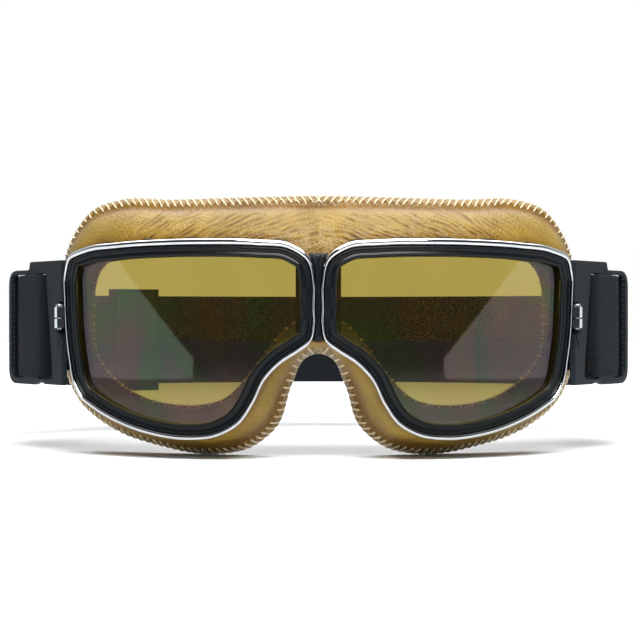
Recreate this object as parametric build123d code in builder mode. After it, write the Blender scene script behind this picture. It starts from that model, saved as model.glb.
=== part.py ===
from build123d import *
import os
from math import cos, radians, sin

# Riding goggles: two chrome-rimmed eyes on a leather mask, hinged at the bridge.
#
# Frame: +X to the right eye as seen from the front, +Y from the lenses to the back of
# the head, +Z up.  The origin is the middle of the bounding box, at its base.
# Only the right side (+X) is drawn; the left side is its mirror image.

os.makedirs("parts", exist_ok=True)

# ---- driving dimensions, mm ----
FACE_Y = -88.0          # front of the rims at the bridge; the strap's back is as far behind
LENS_RADIUS = 150.0     # vertical cylinder that the rims' front faces lie on
MASK_AXIS_Y = 172.0     # mask's rear face: its cylinder axis, behind the front face
MASK_REAR_RADIUS = 144.0
MASK_DEPTH = 16.0       # leather and foam together, front to back
LEATHER = 1.5           # thickness of the leather
LINING = 1.4            # thickness of the face lining
RIM_DEPTH = 7.0
RIM_SIDE, RIM_TOP, RIM_BOTTOM = 1.0, 2.4, 2.0    # widths of the rim, seen from the front
GASKET_SIDE, GASKET_TOP, GASKET_BOTTOM = 4.3, 3.9, 3.7   # gasket's width beyond the rim
LENS_FRONT, LENS_BACK = 2.5, 4.5                 # lens faces, behind the rim's face
LENS_LIP = 1.5          # how far the lens reaches into the gasket
EYECUP_BACK = 16.0
CUP_INSET = 0.3
FIT = 0.05              # gap between pieces that sit in each other
SOFT_GAP = 0.3          # gap between soft pieces and the hard ones beside them

HINGE_Y = 9.0           # bridge hinge, behind the front face
HINGE_Z = (42.0, 70.5)
KNUCKLE_RADIUS = 1.8
PIN_RADIUS = 0.8
KNUCKLES = 5
KNUCKLE_GAP = 0.2
WEDGE_HALF_ANGLE = 6.5  # half of the free angle between the two halves behind the hinge

LUG_X, LUG_Y = 94.0, 33.0     # the clamp's screw, at the temple
LUG_RADIUS = 1.8
LUG_Z = (45.7, 49.0, 49.5, 53.3)
SCREW_RADIUS = 0.75
SCREW_CLEARANCE = 0.05

WING_START = (91.5, 34.0)     # where the wing leaves the rim: x, and depth behind the face
WING_DIRECTION = (0.596, 0.803)
WING_THICKNESS = 2.2
NOTCH = 4.6                   # the wing is cut back round the clamp
BAR_END = 44.6                # end of the wing, along the wing

STRAP_HEIGHT = 38.0
STRAP_THICKNESS = 1.5
STRAP_Z_WING, STRAP_Z_REAR = 46.4, 40.0
STRAP_LEVEL_Y = 138.0         # behind this depth the strap is level
REAR_RADIUS = 164.0           # inner face of the strap's rear arc, round the bridge hinge
REAR_ANGLE = 34.0             # where the rear arc turns into the side arc
LAYER_GAP = 0.5
LEFT_END_ANGLE = 4.0          # left strap ends short of the middle
RIGHT_END_ANGLE = 38.0        # right strap ends past the middle, on the left
SLIDER_ANGLE = 29.0           # the slider's middle, left of the middle
SLIDER_WIDTH = 20.0
SLIDER_WALL = 1.6
SLIDER_RAIL = 2.4
TALL = 200.0                  # higher than anything it cuts
EXTRA, REACH = 10.0, 100.0    # an outline's block starts before the front face and ends behind the mask

FRONT = Plane.XZ.offset(-FACE_Y)
HINGE = (0, FACE_Y + HINGE_Y)
WING = Plane(
    origin=(WING_START[0], FACE_Y + WING_START[1], 0),
    x_dir=(WING_DIRECTION[0], WING_DIRECTION[1], 0),
    z_dir=(WING_DIRECTION[1], -WING_DIRECTION[0], 0),
)


def save(piece, label):
    """Label a finished piece and write it as its own STEP file."""
    piece.label = label
    export_step(piece, f"parts/{label}.step")


def save_pair(right, name):
    """Write the right-hand piece and its mirror image."""
    save(right.part, f"{name}_right")
    with BuildPart() as left:
        mirror(right.part, about=Plane.YZ)
    save(left.part, f"{name}_left")


# Front outline of the right eye's rim, anticlockwise from above, as (x, z)
EYE_POINTS = [
    (1.1, 62), (1.1, 54), (1.1, 46.5), (2.4, 41), (6.6, 37.6), (13, 33.4), (18.2, 28), (22.6, 19.3),
    (27.5, 12.4), (35, 8.1), (45, 6.7), (58, 8), (71, 11.9), (80, 16.4), (86, 20.8), (88.6, 25.8),
    (90.3, 34), (91.6, 44), (92.2, 56), (92.2, 66), (90.4, 71.8), (84, 74.7), (72, 76.1), (56, 76.8),
    (38, 76.9), (21, 76.4), (9.8, 75.1), (3.2, 70.5),
]
# Rear outline of the right half of the mask, from the middle of its foot to the middle of its brow
MASK_POINTS = [
    (0, 36.6), (4.6, 35), (9.5, 25.6), (14.8, 10.6), (24, 3), (38, 0.2), (57, 2.6), (76.7, 8.8),
    (89, 17.6), (96, 30), (98.4, 48), (97.3, 66), (92.5, 80.6), (84, 90), (73, 93), (53.5, 92.4),
    (27, 92.6), (0, 93),
]
OPENING_POINTS = [
    (0, 49.5), (8, 47.5), (15, 41), (24, 29), (34, 19.5), (50, 17), (70, 22.5), (82, 34), (84.5, 52),
    (81, 68), (70, 75), (40, 76), (0, 76),
]


def moved_in(points, side, top, bottom):
    """The points of an outline, each moved in at right angles to it."""
    moved = []
    last = len(points) - 1
    for number, point in enumerate(points):
        before, after = points[number - 1], points[(number + 1) % len(points)]
        if point[0] == 0:
            before, after = (-1, 0) if number == 0 else (1, 0), (0, 0) if number in (0, last) else after
        along = (Vector(*after) - Vector(*before)).normalized()
        inward = Vector(-along.Y, along.X)
        level = abs(inward.Y)
        edge = bottom if inward.Y > 0 else top
        amount = side + (edge - side) * level
        moved.append((point[0] + inward.X * amount, point[1] + inward.Y * amount))
    return moved


def inset(side, top=None, bottom=None):
    """The eye's outline, moved in by its own amount at the sides, the top and the bottom."""
    top, bottom = top or side, bottom or side
    with BuildSketch() as shrunk:
        with BuildLine():
            Spline(*moved_in(EYE_POINTS, side, top, bottom), periodic=True)
        make_face()
    return shrunk.sketch


def half_mask(points, amount=0.0):
    """One half of a symmetric outline that starts and ends on the middle plane."""
    moved = moved_in(points, amount, amount, amount)
    with BuildSketch() as half:
        with BuildLine():
            Spline(*moved)
            Line(moved[-1], moved[0])
        make_face()
    return half.sketch


GASKET_IN = (RIM_SIDE + GASKET_SIDE, RIM_TOP + GASKET_TOP, RIM_BOTTOM + GASKET_BOTTOM)
EYE = inset(0.0)
RIM_INNER = inset(RIM_SIDE, RIM_TOP, RIM_BOTTOM)
APERTURE = inset(*GASKET_IN)
LENS_EDGE = inset(*[width - LENS_LIP for width in GASKET_IN])
CUP_OUTER = inset(CUP_INSET)


def curved(outline, near, far, axis_y=LENS_RADIUS, radius=LENS_RADIUS):
    """An outline seen from the front, between two depths below a vertical cylinder."""
    with BuildPart() as ring:
        with BuildSketch():
            with Locations((0, FACE_Y + axis_y)):
                Circle(radius - near)
                Circle(radius - far, mode=Mode.SUBTRACT)
        extrude(amount=TALL)
    with BuildPart() as block:
        with BuildSketch(FRONT.offset(EXTRA)):
            add(outline)
        extrude(amount=-REACH)
        add(ring.part, mode=Mode.INTERSECT)
    return block.part


# ---- rims, with the clamp that closes each one round its lens ----
with BuildPart() as rim:
    add(curved(EYE, 0, RIM_DEPTH))
    add(curved(RIM_INNER, -1, RIM_DEPTH + 1), mode=Mode.SUBTRACT)
    with BuildSketch(Plane.XY.offset(LUG_Z[1])):
        with Locations((LUG_X, FACE_Y + LUG_Y)):
            Rectangle(20, 30)
    extrude(amount=LUG_Z[2] - LUG_Z[1], mode=Mode.SUBTRACT)
save_pair(rim, "rim")

with BuildPart() as clamp_lugs:
    for low, high in (LUG_Z[:2], LUG_Z[2:]):
        with BuildSketch(Plane.XY.offset(low)):
            with Locations((LUG_X, FACE_Y + LUG_Y)):
                Circle(LUG_RADIUS)
            with Locations((LUG_X - LUG_RADIUS / 2, FACE_Y + LUG_Y)):
                Rectangle(LUG_RADIUS + 0.6, 2 * LUG_RADIUS)
            with Locations((LUG_X, FACE_Y + LUG_Y)):
                Circle(SCREW_RADIUS + SCREW_CLEARANCE, mode=Mode.SUBTRACT)
        extrude(amount=high - low)
    add(curved(EYE, 0, RIM_DEPTH), mode=Mode.SUBTRACT)
save_pair(clamp_lugs, "clamp_lugs")

SCREW_HEAD_RADIUS, SCREW_HEAD = 1.35, 1.1
SCREW_LENGTH = LUG_Z[3] - LUG_Z[0] + 1.1
with BuildPart() as clamp_screw:
    with BuildSketch(Plane.XY.offset(LUG_Z[3] + SCREW_HEAD / 2 - SCREW_LENGTH)):
        with Locations((LUG_X, FACE_Y + LUG_Y)):
            Circle(SCREW_RADIUS)
    extrude(amount=SCREW_LENGTH)
    with BuildSketch(Plane.XY.offset(LUG_Z[3] + SCREW_CLEARANCE)):
        with Locations((LUG_X, FACE_Y + LUG_Y)):
            Circle(SCREW_HEAD_RADIUS)
    extrude(amount=SCREW_HEAD)
    fillet(clamp_screw.edges().group_by(Axis.Z)[-1], radius=0.5)
    with BuildSketch(Plane.XY.offset(LUG_Z[3] + SCREW_HEAD - 0.4)):
        with Locations((LUG_X, FACE_Y + LUG_Y)):
            Rectangle(4, 0.5)
    extrude(amount=1, mode=Mode.SUBTRACT)
save_pair(clamp_screw, "clamp_screw")

# ---- gasket, lens and the eyecup behind them ----
BEAD = 0.5
GASKET_BACK = 5.2
with BuildPart() as gasket:
    add(curved(RIM_INNER, -BEAD, GASKET_BACK))
    add(curved(APERTURE, -2, GASKET_BACK + 1), mode=Mode.SUBTRACT)
    add(curved(LENS_EDGE, LENS_FRONT, LENS_BACK), mode=Mode.SUBTRACT)
    add(curved(EYE, -2, 0), mode=Mode.SUBTRACT)
    add(curved(inset(RIM_SIDE + 0.8, RIM_TOP + 0.8, RIM_BOTTOM + 0.8), -BEAD, 0.0))
    add(curved(inset(RIM_SIDE + 2.4, RIM_TOP + 2.2, RIM_BOTTOM + 2.0), -2, 0.0), mode=Mode.SUBTRACT)
save_pair(gasket, "gasket")

with BuildPart() as lens:
    add(curved(LENS_EDGE, LENS_FRONT + FIT, LENS_BACK - FIT))
save_pair(lens, "lens")

CUP_INNER = inset(*[width - 0.5 for width in GASKET_IN])
with BuildPart() as eyecup:
    add(curved(CUP_OUTER, RIM_DEPTH + FIT, EYECUP_BACK))
    add(curved(inset(RIM_SIDE + FIT, RIM_TOP + FIT, RIM_BOTTOM + FIT), GASKET_BACK + FIT, RIM_DEPTH + 1))
    add(curved(CUP_INNER, 0, EYECUP_BACK + 1), mode=Mode.SUBTRACT)
save_pair(eyecup, "eyecup")

# ---- bridge hinge ----
KNUCKLE_HEIGHT = (HINGE_Z[1] - HINGE_Z[0]) / KNUCKLES


LEAF_FOLDS = (-3.5, 0, 3, 6, 9, 12.5)     # the other eye's places, as the bridge folds
about_hinge = Pos(HINGE[0], HINGE[1], 0)
RIGHT_CUP = curved(CUP_OUTER, 0, EYECUP_BACK + 4)
LEFT_CUP = mirror(RIGHT_CUP, about=Plane.YZ)


def bridge_leaf(side, first):
    """Knuckles on every second step of the hinge, with their leaf to one eyecup."""
    with BuildPart() as leaf:
        for number in range(first, KNUCKLES, 2):
            with BuildSketch(Plane.XY.offset(HINGE_Z[0] + number * KNUCKLE_HEIGHT + KNUCKLE_GAP / 2)):
                with Locations(HINGE):
                    Circle(KNUCKLE_RADIUS)
                with Locations((side * KNUCKLE_RADIUS / 2, HINGE[1])):
                    Rectangle(KNUCKLE_RADIUS, 2 * KNUCKLE_RADIUS)
                with Locations(HINGE):
                    Circle(PIN_RADIUS + FIT, mode=Mode.SUBTRACT)
            extrude(amount=KNUCKLE_HEIGHT - KNUCKLE_GAP)
        own, other = (RIGHT_CUP, LEFT_CUP) if side > 0 else (LEFT_CUP, RIGHT_CUP)
        add(own, mode=Mode.SUBTRACT)
        for fold in LEAF_FOLDS:
            turned = about_hinge * Rotation(0, 0, -side * fold) * about_hinge.inverse() * other
            add(turned, mode=Mode.SUBTRACT)
    return leaf.part


save(bridge_leaf(-1, 0), "bridge_leaf_left")
save(bridge_leaf(1, 1), "bridge_leaf_right")

with BuildPart() as bridge_pin:
    with BuildSketch(Plane.XY.offset(HINGE_Z[0] - 0.5)):
        with Locations(HINGE):
            Circle(PIN_RADIUS)
    extrude(amount=HINGE_Z[1] - HINGE_Z[0] + 1)
save(bridge_pin.part, "bridge_pin")

BOOT_WIDTH, BOOT_DEPTH, BOOT_Y = 1.0, 3.0, 5.0
with BuildPart() as bridge_boot:
    with BuildSketch(Plane.XY.offset(HINGE_Z[0])):
        with Locations((0, FACE_Y + BOOT_Y)):
            Rectangle(BOOT_WIDTH, BOOT_DEPTH)
    extrude(amount=HINGE_Z[1] - HINGE_Z[0] + 1)
    fillet(bridge_boot.edges().filter_by(Axis.Z), radius=0.3)
save(bridge_boot.part, "bridge_boot")

# ---- leather mask: skin, foam and face lining, cut free at the bridge ----


MASK = half_mask(MASK_POINTS)
INNER_MASK = half_mask(MASK_POINTS, LEATHER + 0.1)
OPENING = half_mask(OPENING_POINTS)
FRONT_RADIUS = MASK_REAR_RADIUS + MASK_DEPTH
CUP_ENVELOPE = inset(CUP_INSET - FIT)


def mask_shell(outline, inner, outer):
    """An outline between two radii round the mask's own axis."""
    return curved(outline, MASK_REAR_RADIUS - outer, MASK_REAR_RADIUS - inner, MASK_AXIS_Y, MASK_REAR_RADIUS)


# ---- ventilation hoods on top of each eyecup, between the rim and the leather ----
VENTS = 5
VENT_FIRST_X, VENT_PITCH = 14.2, 15.4
VENT_LENGTH, VENT_HEIGHT, VENT_PROUD = 11.0, 3.4, 0.9
BROW_X, BROW_Z, BROW_CURVE = 45.0, 76.9, 0.0012
with BuildSketch() as hoods:
    for number in range(VENTS):
        x = VENT_FIRST_X + number * VENT_PITCH
        brow = BROW_Z - BROW_CURVE * (x - BROW_X) ** 2
        with Locations((x, brow + VENT_PROUD - VENT_HEIGHT / 2)):
            RectangleRounded(VENT_LENGTH, VENT_HEIGHT, 1.5)
with BuildPart() as vent_hoods:
    add(curved(hoods.sketch, RIM_DEPTH + 2 * FIT, RIM_DEPTH + 3))
    add(curved(CUP_OUTER, 0, EYECUP_BACK + 20), mode=Mode.SUBTRACT)
    add(mask_shell(MASK, MASK_REAR_RADIUS, FRONT_RADIUS + FIT), mode=Mode.SUBTRACT)
save_pair(vent_hoods, "vent_hoods")

RIB_Z = (30.0, 64.0)
with BuildPart() as wing_rib:
    with BuildSketch(Plane.XY.offset(RIB_Z[0])):
        with BuildLine():
            Polyline((94.7, FACE_Y + 40.2), (96.7, FACE_Y + 42.2), (96.0, FACE_Y + 44.5),
                     (92.1, FACE_Y + 46.4), (92.1, FACE_Y + 43.6), close=True)
        make_face()
    extrude(amount=RIB_Z[1] - RIB_Z[0])

with BuildPart() as mask_clearance:
    # free wedge behind the hinge, hard eyecup, and the wing's rib, with room round it
    with BuildSketch():
        with BuildLine():
            Polyline((0.3, HINGE[1] - 20), (0.3, HINGE[1]),
                     (0.3 + 100 * sin(radians(WEDGE_HALF_ANGLE)), HINGE[1] + 100),
                     (-1, HINGE[1] + 100), (-1, HINGE[1] - 20), close=True)
        make_face()
    extrude(amount=TALL)
    add(curved(CUP_ENVELOPE, 0, EYECUP_BACK + 0.1))
    add(curved(inset(*[width - 2 for width in GASKET_IN]), 0, 60))
    add(Pos(0.5, 0, 0) * wing_rib.part)
    add(Pos(0, 0, SOFT_GAP) * wing_rib.part)
    add(Pos(0, 0, -SOFT_GAP) * wing_rib.part)
    add(Pos(0, SOFT_GAP, 0) * wing_rib.part)
    add(Pos(0, -SOFT_GAP, 0) * wing_rib.part)

with BuildPart() as mask_leather:
    add(mask_shell(MASK, MASK_REAR_RADIUS + LINING + 0.1, FRONT_RADIUS))
    add(mask_shell(INNER_MASK, MASK_REAR_RADIUS, FRONT_RADIUS - LEATHER), mode=Mode.SUBTRACT)
    add(mask_clearance.part, mode=Mode.SUBTRACT)
save_pair(mask_leather, "mask_leather")

FOAM = half_mask(MASK_POINTS, LEATHER + 0.2)
with BuildPart() as mask_foam:
    add(mask_shell(FOAM, MASK_REAR_RADIUS + LINING + 0.1, FRONT_RADIUS - LEATHER - 0.1))
    add(mask_shell(OPENING, MASK_REAR_RADIUS - 1, FRONT_RADIUS - 7), mode=Mode.SUBTRACT)
    add(mask_clearance.part, mode=Mode.SUBTRACT)
save_pair(mask_foam, "mask_foam")

with BuildPart() as mask_lining:
    add(mask_shell(MASK, MASK_REAR_RADIUS, MASK_REAR_RADIUS + LINING))
    add(mask_shell(OPENING, MASK_REAR_RADIUS - 1, FRONT_RADIUS), mode=Mode.SUBTRACT)
    add(mask_clearance.part, mode=Mode.SUBTRACT)
save_pair(mask_lining, "mask_lining")

# ---- wings that carry the strap ----
with BuildPart() as wing:
    with BuildSketch(WING) as wing_face:
        with BuildLine():
            Polyline((-2, 24.8), (15.4, 24.8), (18.2, 26.2), (24, 24.4), (BAR_END, 24.4),
                     (BAR_END, 67.4), (27.8, 67.4), (27, 70.4), (-2, 70.4), close=True)
        make_face()
        fillet(wing_face.vertices().group_by(Axis.X)[-1], 6)
    extrude(amount=WING_THICKNESS / 2, both=True)
    with BuildSketch(WING):
        with BuildLine():
            Polyline((14.3, 66), (20.5, 66), (20.5, 27), (8.6, 27), close=True)
        make_face()
        with Locations((35.8, 46.5)):
            RectangleRounded(12.4, 39, 4.5)
    extrude(amount=WING_THICKNESS, both=True, mode=Mode.SUBTRACT)
    with BuildSketch(WING):
        with Locations((0, (LUG_Z[0] + LUG_Z[3]) / 2)):
            Rectangle(2 * NOTCH, LUG_Z[3] - LUG_Z[0] + 4)
    extrude(amount=WING_THICKNESS, both=True, mode=Mode.SUBTRACT)
    add(curved(inset(-FIT), -5, 60), mode=Mode.SUBTRACT)
    add(wing_rib.part)
save_pair(wing, "wing")

# ---- elastic strap in two halves, which overlap at the back inside the slider ----
WING_PATH = [(44, -5.2), (30, -4.2), (20.5, -3.3), (16.6, -1.4), (17.6, 1.9), (25, 2.4),
             (32.5, 1.9), (39, -1.6), (46, -2.6)]


def on_wing(along, out):
    """A point in plan from its place along the wing and its distance out of the wing's plane."""
    point = WING.from_local_coords(Vector(along, 0, 0))
    normal = Vector(WING_DIRECTION[1], -WING_DIRECTION[0], 0)
    moved = point + normal * out
    return (moved.X, moved.Y)


def on_rear(angle, radius):
    """A point in plan on a circle round the hinge, measured from straight behind it."""
    return (HINGE[0] + radius * sin(radians(angle)), HINGE[1] + radius * cos(radians(angle)))


def strap_level():
    """Side view of the strap: it drops towards the back, and is level behind the head."""
    with BuildPart() as level:
        with BuildSketch(Plane.YZ) as side:
            with BuildLine():
                low = -STRAP_HEIGHT / 2
                Polyline((FACE_Y, STRAP_Z_WING + low), (FACE_Y + 70, STRAP_Z_WING + low),
                         (FACE_Y + STRAP_LEVEL_Y, STRAP_Z_REAR + low), (FACE_Y + 190, STRAP_Z_REAR + low),
                         (FACE_Y + 190, STRAP_Z_REAR - low), (FACE_Y + STRAP_LEVEL_Y, STRAP_Z_REAR - low),
                         (FACE_Y + 70, STRAP_Z_WING - low), (FACE_Y, STRAP_Z_WING - low), close=True)
            make_face()
        extrude(amount=TALL, both=True)
    return level.part


LEVEL = strap_level()


def strap(layer, end_angle):
    """Right-hand strap: from its sewn end through the wing's slots and round to the back."""
    radius = REAR_RADIUS + layer * (STRAP_THICKNESS + LAYER_GAP) + STRAP_THICKNESS / 2
    side_start = on_wing(*WING_PATH[-1])
    side_end = on_rear(REAR_ANGLE, radius)
    leave = Vector(*on_rear(REAR_ANGLE + 90, 1)) - Vector(*HINGE)
    with BuildPart() as band:
        with BuildSketch() as plan:
            with BuildLine():
                Spline(*[on_wing(*point) for point in WING_PATH])
            trace(line_width=STRAP_THICKNESS)
            with Locations(side_start):
                Circle(STRAP_THICKNESS / 2)
            with BuildLine():
                TangentArc(side_end, side_start, tangent=(leave.X, leave.Y))
                middle = on_rear((REAR_ANGLE + end_angle) / 2, radius)
                ThreePointArc(side_end, middle, on_rear(end_angle, radius))
            trace(line_width=STRAP_THICKNESS)
        extrude(amount=TALL)
        add(LEVEL, mode=Mode.INTERSECT)
    return band.part


save(strap(1, -RIGHT_END_ANGLE), "strap_right")
with BuildPart() as strap_left:
    mirror(strap(0, LEFT_END_ANGLE), about=Plane.YZ)
save(strap_left.part, "strap_left")

# ---- slider round both layers ----
INNER_FACE = REAR_RADIUS - LAYER_GAP
OUTER_FACE = REAR_RADIUS + 2 * STRAP_THICKNESS + 2 * LAYER_GAP
HALF_SPAN = SLIDER_WIDTH / 2 / REAR_RADIUS * 57.3
SLIDER_HEIGHT = STRAP_HEIGHT + 2 * (LAYER_GAP + SLIDER_RAIL)
WINDOW = (SLIDER_WIDTH - 3 * SLIDER_RAIL) / 2
with BuildPart() as strap_slider:
    with BuildSketch(Plane.XY.offset(STRAP_Z_REAR - SLIDER_HEIGHT / 2)):
        with BuildLine():
            corners = [on_rear(side * HALF_SPAN - SLIDER_ANGLE, reach)
                       for side, reach in ((-1, INNER_FACE - SLIDER_WALL), (-1, OUTER_FACE + SLIDER_WALL),
                                           (1, OUTER_FACE + SLIDER_WALL), (1, INNER_FACE - SLIDER_WALL))]
            Line(corners[0], corners[1])
            ThreePointArc(corners[1], on_rear(-SLIDER_ANGLE, OUTER_FACE + SLIDER_WALL), corners[2])
            Line(corners[2], corners[3])
            ThreePointArc(corners[3], on_rear(-SLIDER_ANGLE, INNER_FACE - SLIDER_WALL), corners[0])
        make_face()
    extrude(amount=SLIDER_HEIGHT)
    with BuildSketch(Plane.XY.offset(STRAP_Z_REAR - STRAP_HEIGHT / 2 - LAYER_GAP)):
        with Locations(HINGE):
            Circle(OUTER_FACE)
            Circle(INNER_FACE, mode=Mode.SUBTRACT)
    extrude(amount=STRAP_HEIGHT + 2 * LAYER_GAP, mode=Mode.SUBTRACT)
    SLIDER_PLANE = Plane(origin=(*on_rear(-SLIDER_ANGLE, REAR_RADIUS), STRAP_Z_REAR),
                         x_dir=(cos(radians(SLIDER_ANGLE)), sin(radians(SLIDER_ANGLE)), 0),
                         z_dir=(sin(radians(SLIDER_ANGLE)), -cos(radians(SLIDER_ANGLE)), 0))
    with BuildSketch(SLIDER_PLANE):
        with GridLocations(WINDOW + SLIDER_RAIL, 0, 2, 1):
            RectangleRounded(WINDOW, STRAP_HEIGHT, 1.5)
    extrude(amount=-20, mode=Mode.SUBTRACT)
save(strap_slider.part, "strap_slider")
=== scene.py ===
import bmesh
import bpy
import numpy as np
from math import asin, cos, pi, radians, sin
from mathutils import Matrix, Vector, noise


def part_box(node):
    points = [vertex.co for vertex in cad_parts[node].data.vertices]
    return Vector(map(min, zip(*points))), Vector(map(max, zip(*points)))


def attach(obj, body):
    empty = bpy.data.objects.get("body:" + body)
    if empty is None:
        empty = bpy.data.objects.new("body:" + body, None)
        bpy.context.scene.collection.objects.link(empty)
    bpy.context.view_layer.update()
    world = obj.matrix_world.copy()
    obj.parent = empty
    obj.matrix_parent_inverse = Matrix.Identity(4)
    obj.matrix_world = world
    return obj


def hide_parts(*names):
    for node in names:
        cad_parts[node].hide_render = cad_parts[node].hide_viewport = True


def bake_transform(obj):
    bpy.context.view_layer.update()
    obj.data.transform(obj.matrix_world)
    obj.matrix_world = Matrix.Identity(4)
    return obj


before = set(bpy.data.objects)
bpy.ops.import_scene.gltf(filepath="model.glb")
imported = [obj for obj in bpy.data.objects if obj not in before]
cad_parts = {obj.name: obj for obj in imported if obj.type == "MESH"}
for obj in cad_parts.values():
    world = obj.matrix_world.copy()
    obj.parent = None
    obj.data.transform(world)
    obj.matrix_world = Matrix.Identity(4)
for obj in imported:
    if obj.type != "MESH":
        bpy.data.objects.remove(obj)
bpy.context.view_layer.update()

# ------------------------ sizes, in millimetres
# The front view is +X to the right and +Z up; +Y runs from the lenses to the back of the head.
MM = 0.001
FACE_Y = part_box("rim_right")[0][1] / MM      # front of the rims, beside the bridge
LENS_RADIUS = 150.0                          # vertical cylinder that the rims lie on
MASK_AXIS_Y = FACE_Y + 172.0
MASK_REAR_RADIUS = 144.0
RIM_DEPTH = 7.0
RIM_SIDE, RIM_TOP, RIM_BOTTOM = 1.0, 2.4, 2.0
GASKET_SIDE, GASKET_TOP, GASKET_BOTTOM = 4.3, 3.9, 3.7
EYECUP_BACK = 16.0                           # depth of the eyecups, behind the lens cylinder
HINGE_Y = FACE_Y + 9.0                       # the bridge's upright axis, at x = 0

# Outlines in the front view, right-hand half.  The mask and its opening start and end in the middle.
EYE_POINTS = [
    (1.1, 62), (1.1, 54), (1.1, 46.5), (2.4, 41), (6.6, 37.6), (13, 33.4), (18.2, 28), (22.6, 19.3),
    (27.5, 12.4), (35, 8.1), (45, 6.7), (58, 8), (71, 11.9), (80, 16.4), (86, 20.8), (88.6, 25.8),
    (90.3, 34), (91.6, 44), (92.2, 56), (92.2, 66), (90.4, 71.8), (84, 74.7), (72, 76.1), (56, 76.8),
    (38, 76.9), (21, 76.4), (9.8, 75.1), (3.2, 70.5),
]
MASK_POINTS = [
    (0, 36.6), (4.6, 35), (9.5, 25.6), (14.8, 10.6), (24, 3), (38, 0.2), (57, 2.6), (76.7, 8.8),
    (89, 17.6), (96, 30), (98.4, 48), (97.3, 66), (92.5, 80.6), (84, 90), (73, 93), (53.5, 92.4),
    (27, 92.6), (0, 93),
]
OPENING_POINTS = [
    (0, 49.5), (8, 47.5), (15, 41), (24, 29), (34, 19.5), (50, 17), (70, 22.5), (82, 34), (84.5, 52),
    (81, 68), (70, 75), (40, 76), (0, 76),
]


# ------------------------ curves in the front view
def between(t, start, leave, end, arrive):
    """Places at the shares t of a curve, from its two ends and its slopes there."""
    return ((2 * t**3 - 3 * t**2 + 1) * start + (t**3 - 2 * t**2 + t) * leave
            + (3 * t**2 - 2 * t**3) * end + (t**3 - t**2) * arrive)


def tangents(points):
    """Tangents of a closed curve through the points, and the chord after each point."""
    after = np.roll(points, -1, axis=0) - points
    chord = np.linalg.norm(after, axis=1)[:, None]
    before = np.roll(after, 1, axis=0)
    back = np.roll(chord, 1, axis=0)
    return (after / chord * back + before / back * chord) / (chord + back), chord


def smooth_loop(points, count):
    """A smooth closed curve through the points, at evenly spaced stations from the first point."""
    points = np.array(points, float)
    tangent, chord = tangents(points)
    fine = []
    steps = np.linspace(0, 1, 40, endpoint=False)[:, None]
    for i in range(len(points)):
        j = (i + 1) % len(points)
        fine.append(between(steps, points[i], chord[i] * tangent[i], points[j], chord[i] * tangent[j]))
    fine = np.concatenate(fine)
    return even(np.vstack([fine, fine[:1]]), count)


def even(line, count):
    """A closed line's points at equal steps along it."""
    length = np.concatenate([[0], np.cumsum(np.linalg.norm(np.diff(line, axis=0), axis=1))])
    stations = np.linspace(0, length[-1], count, endpoint=False)
    return np.stack([np.interp(stations, length, line[:, k]) for k in range(line.shape[1])], axis=1)


def inward(loop):
    """Unit vectors into a closed loop that runs anticlockwise."""
    along = np.roll(loop, -1, axis=0) - np.roll(loop, 1, axis=0)
    along /= np.linalg.norm(along, axis=1)[:, None]
    return np.stack([-along[:, 1], along[:, 0]], axis=1)


def edge_width(normal, side, top, bottom):
    """A border's width: its own at the sides, the top and the bottom."""
    edge = np.where(normal[:, 1] > 0, bottom, top)
    return side + (edge - side) * np.abs(normal[:, 1])


def both_halves(points):
    """A symmetric closed outline from its right half, which starts and ends in the middle."""
    return points + [(-x, z) for x, z in points[-2:0:-1]]


def perimeter(loop):
    """Length round a closed loop."""
    return np.linalg.norm(np.roll(loop, -1, axis=0) - loop, axis=1).sum()


def smooth_steps(values, at, to):
    """A rising curve through (at, to), with its slope changing gradually."""
    at, to = np.array(at, float), np.array(to, float)
    slope = np.gradient(to, at)
    i = np.clip(np.searchsorted(at, values, side="right") - 1, 0, len(at) - 2)
    h = at[i + 1] - at[i]
    t = (values - at[i]) / h
    return between(t, to[i], h * slope[i], to[i + 1], h * slope[i + 1])


def lump(values, centre, width):
    """A smooth hump."""
    return np.exp(-((values - centre) / width) ** 2)


def ease(values, low, high):
    """0 below low, 1 above high, smooth between."""
    t = np.clip((values - low) / (high - low), 0, 1)
    return t * t * (3 - 2 * t)


def on_face(flat, depth):
    """Points of the front view, set a depth behind the lens cylinder."""
    y = FACE_Y + LENS_RADIUS - np.sqrt((LENS_RADIUS - depth) ** 2 - flat[..., 0] ** 2)
    return np.stack([flat[..., 0], y, flat[..., 1]], axis=-1)


def on_back(flat, proud):
    """Points of the front view, set on the mask's rear cylinder or in front of it."""
    y = MASK_AXIS_Y - np.sqrt((MASK_REAR_RADIUS + proud) ** 2 - flat[..., 0] ** 2)
    return np.stack([flat[..., 0], y, flat[..., 1]], axis=-1)


# ------------------------ meshes
def mesh_object(name, points, faces, material, smooth=True, extras=None):
    """A mesh piece from points in millimetres, with float attributes for its material."""
    mesh = bpy.data.meshes.new(name)
    mesh.from_pydata((np.asarray(points) * MM).tolist(), [], [list(map(int, f)) for f in faces])
    mesh.materials.append(material)
    for key, values in (extras or {}).items():
        layer = mesh.attributes.new(key, "FLOAT", "POINT")
        layer.data.foreach_set("value", np.asarray(values, float).ravel())
    mesh.validate()
    obj = bpy.data.objects.new(name, mesh)
    bpy.context.scene.collection.objects.link(obj)
    mesh.polygons.foreach_set("use_smooth", [smooth] * len(mesh.polygons))
    recalculate(mesh)
    return obj


def recalculate(mesh):
    """Turn every face outwards."""
    work = bmesh.new()
    work.from_mesh(mesh)
    bmesh.ops.recalc_face_normals(work, faces=work.faces)
    work.to_mesh(mesh)
    work.free()


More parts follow.
